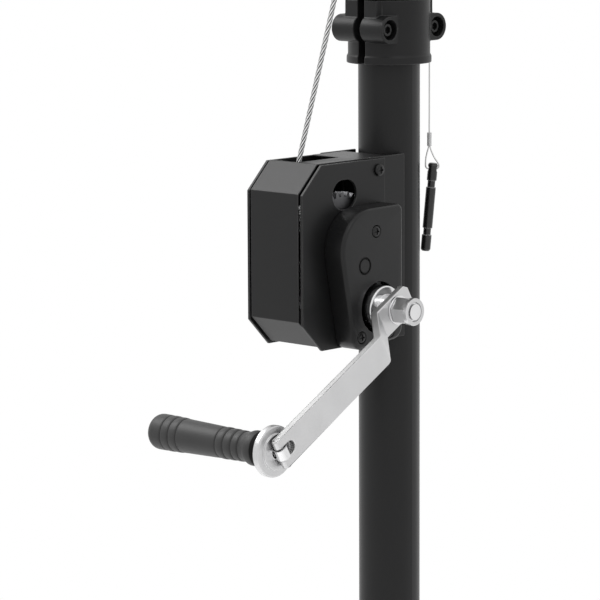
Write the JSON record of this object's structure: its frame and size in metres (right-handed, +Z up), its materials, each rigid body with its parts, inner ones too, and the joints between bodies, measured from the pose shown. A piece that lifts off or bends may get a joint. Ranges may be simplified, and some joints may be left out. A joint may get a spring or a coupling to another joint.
{
  "type": "crank lighting stand",
  "caption": "Black telescopic lighting stand on a braced folding tripod, raised by a geared hand winch with a load brake, a wire rope and a folding crank grip, with a socket on top.",
  "frame": {"origin": "on the floor, on the mast's axis", "axes": "+Z up along the mast, -Y towards the winch's front, +X towards the crank"},
  "size_m": [1.1054, 0.9617, 1.6805],
  "materials": {
    "black_paint": "satin powder coat with a fine texture",
    "black_cast": "satin powder coat on a casting",
    "black_plastic": "fine moulded texture",
    "rubber": "matt, slightly grey",
    "friction": "matt pressed lining",
    "zinc": "bright zinc plating",
    "steel": "bare machined steel",
    "rope": "galvanised stranded wire"
  },
  "bodies": {
    "root": {"outer_tube": "black_paint", "mast_cap": "black_plastic", "collar_right": "black_cast", "collar_left": "black_cast", "collar_screws": "black_paint", "sheave_head": "black_cast", "guide_bush": "black_plastic", "sheave_pin": "zinc", "winch_bracket": "black_paint", "side_plate_right": "black_paint", "side_plate_left": "black_paint", "front_cover": "black_paint", "housing_screws": "black_paint", "drum_axle": "zinc", "shaft_bushes": "zinc", "ratchet_wheel": "zinc", "pawl_pin": "zinc", "pawl_spring": "steel", "brake_cover": "black_plastic", "brake_cover_screws": "black_paint", "rope_span": "rope", "rope_drop": "rope", "lower_collar": "black_cast", "brace_pins": "zinc"},
    "inner_mast": {"inner_tube": "black_paint", "inner_foot": "black_plastic", "rope_end": "zinc", "top_socket": "black_paint"},
    "socket_knob": {"socket_knob": "black_plastic"},
    "drum": {"drum": "zinc", "drum_gear": "steel", "rope_winding": "rope"},
    "shaft": {"drive_shaft": "zinc", "brake_flange": "zinc", "friction_discs": "friction"},
    "crank": {"crank_hub": "zinc", "crank_arm": "zinc", "crank_washer": "zinc", "crank_nut": "zinc", "fold_pin": "zinc"},
    "grip_axle": {"grip_axle": "zinc", "grip_ring": "zinc"},
    "grip": {"grip": "rubber"},
    "pawl": {"pawl": "zinc"},
    "sheave": {"sheave": "black_plastic"},
    "lanyard": {"lanyard_wire": "rope", "lanyard_ferrule": "zinc", "lock_pin": "black_paint"},
    "hub": {"leg_hub": "black_cast", "leg_pins": "zinc"},
    "hub_knob": {"hub_knob": "black_plastic"},
    "leg_1": {"leg_1": "black_paint", "foot_1": "rubber"},
    "brace_1": {"brace_1": "black_paint"},
    "leg_2": {"leg_2": "black_paint", "foot_2": "rubber"},
    "brace_2": {"brace_2": "black_paint"},
    "leg_3": {"leg_3": "black_paint", "foot_3": "rubber"},
    "brace_3": {"brace_3": "black_paint"}
  },
  "joints": [
    {"name": "mast_lift", "type": "slide", "parent": "root", "child": "inner_mast", "axis": [0, 0, 1], "range_m": [0, 1.05], "deforming": ["rope_drop"]},
    {"name": "drum_spin", "type": "hinge", "parent": "root", "child": "drum", "pos_m": [0, -0.083, 1.2565], "axis": [1, 0, 0], "range_deg": [0, 2006]},
    {"name": "shaft_spin", "type": "hinge", "parent": "root", "child": "shaft", "pos_m": [0, -0.0677, 1.2068], "axis": [1, 0, 0], "range_deg": [-6690, 0]},
    {"name": "sheave_spin", "type": "hinge", "parent": "root", "child": "sheave", "pos_m": [0, -0.03825, 1.4745], "axis": [1, 0, 0], "range_deg": [0, 3540]},
    {"name": "crank_swing", "type": "hinge", "parent": "root", "child": "crank", "pos_m": [0, -0.0677, 1.2068], "axis": [-1, 0, 0], "range_deg": [-60, 100]},
    {"name": "grip_fold", "type": "hinge", "parent": "crank", "child": "grip_axle", "pos_m": [0.0915, -0.22436, 1.11816], "axis": [0, -0.4924, 0.8704], "range_deg": [0, 180]},
    {"name": "grip_spin", "type": "hinge", "parent": "grip_axle", "child": "grip", "pos_m": [0.0915, -0.22436, 1.11816], "axis": [1, 0, 0], "continuous": true},
    {"name": "pawl_lift", "type": "hinge", "parent": "root", "child": "pawl", "pos_m": [0.0394, -0.0845, 1.2415], "axis": [1, 0, 0], "range_deg": [0, 12], "stiffness_Nm_per_rad": 0.02, "springref_deg": -17.19},
    {"name": "lanyard_swing", "type": "hinge", "parent": "root", "child": "lanyard", "pos_m": [0.0155, 0.0319, 1.412], "axis": [0.8955, -0.445, 0], "range_deg": [0, 70]},
    {"name": "socket_knob_turn", "type": "hinge", "parent": "inner_mast", "child": "socket_knob", "pos_m": [0.03, 0, 1.653], "axis": [1, 0, 0], "range_deg": [0, 360]},
    {"name": "hub_slide", "type": "slide", "parent": "root", "child": "hub", "axis": [0, 0, 1], "range_m": [0, 0.32787]},
    {"name": "hub_knob_turn", "type": "hinge", "parent": "hub", "child": "hub_knob", "pos_m": [0, -0.04, 0.64], "axis": [0, -1, 0], "range_deg": [0, 360]},
    {"name": "leg_fold_1", "type": "hinge", "parent": "hub", "child": "leg_1", "pos_m": [0, 0.052, 0.64], "axis": [-1, 0, 0], "range_deg": [0, 37.57]},
    {"name": "brace_fold_1", "type": "hinge", "parent": "root", "child": "brace_1", "pos_m": [0, 0.038, 0.23], "axis": [1, 0, 0], "range_deg": [0, 65.47]},
    {"name": "leg_fold_2", "type": "hinge", "parent": "hub", "child": "leg_2", "pos_m": [-0.04503, -0.026, 0.64], "axis": [0.5, -0.866, 0], "range_deg": [0, 37.57]},
    {"name": "brace_fold_2", "type": "hinge", "parent": "root", "child": "brace_2", "pos_m": [-0.03291, -0.019, 0.23], "axis": [-0.5, 0.866, 0], "range_deg": [0, 65.47]},
    {"name": "leg_fold_3", "type": "hinge", "parent": "hub", "child": "leg_3", "pos_m": [0.04503, -0.026, 0.64], "axis": [0.5, 0.866, 0], "range_deg": [0, 37.57]},
    {"name": "brace_fold_3", "type": "hinge", "parent": "root", "child": "brace_3", "pos_m": [0.03291, -0.019, 0.23], "axis": [-0.5, -0.866, 0], "range_deg": [0, 65.47]}
  ],
  "couplings": [
    {"joint": "drum_spin", "follows": "mast_lift", "rad_per_m": 33.333},
    {"joint": "shaft_spin", "follows": "mast_lift", "rad_per_m": -111.11},
    {"joint": "sheave_spin", "follows": "mast_lift", "rad_per_m": 58.824},
    {"joint": "leg_fold_1", "follows": "hub_slide", "rad_per_m": 1.9996},
    {"joint": "brace_fold_1", "follows": "hub_slide", "rad_per_m": 3.4847},
    {"joint": "leg_fold_2", "follows": "hub_slide", "rad_per_m": 1.9996},
    {"joint": "brace_fold_2", "follows": "hub_slide", "rad_per_m": 3.4847},
    {"joint": "leg_fold_3", "follows": "hub_slide", "rad_per_m": 1.9996},
    {"joint": "brace_fold_3", "follows": "hub_slide", "rad_per_m": 3.4847}
  ]
}
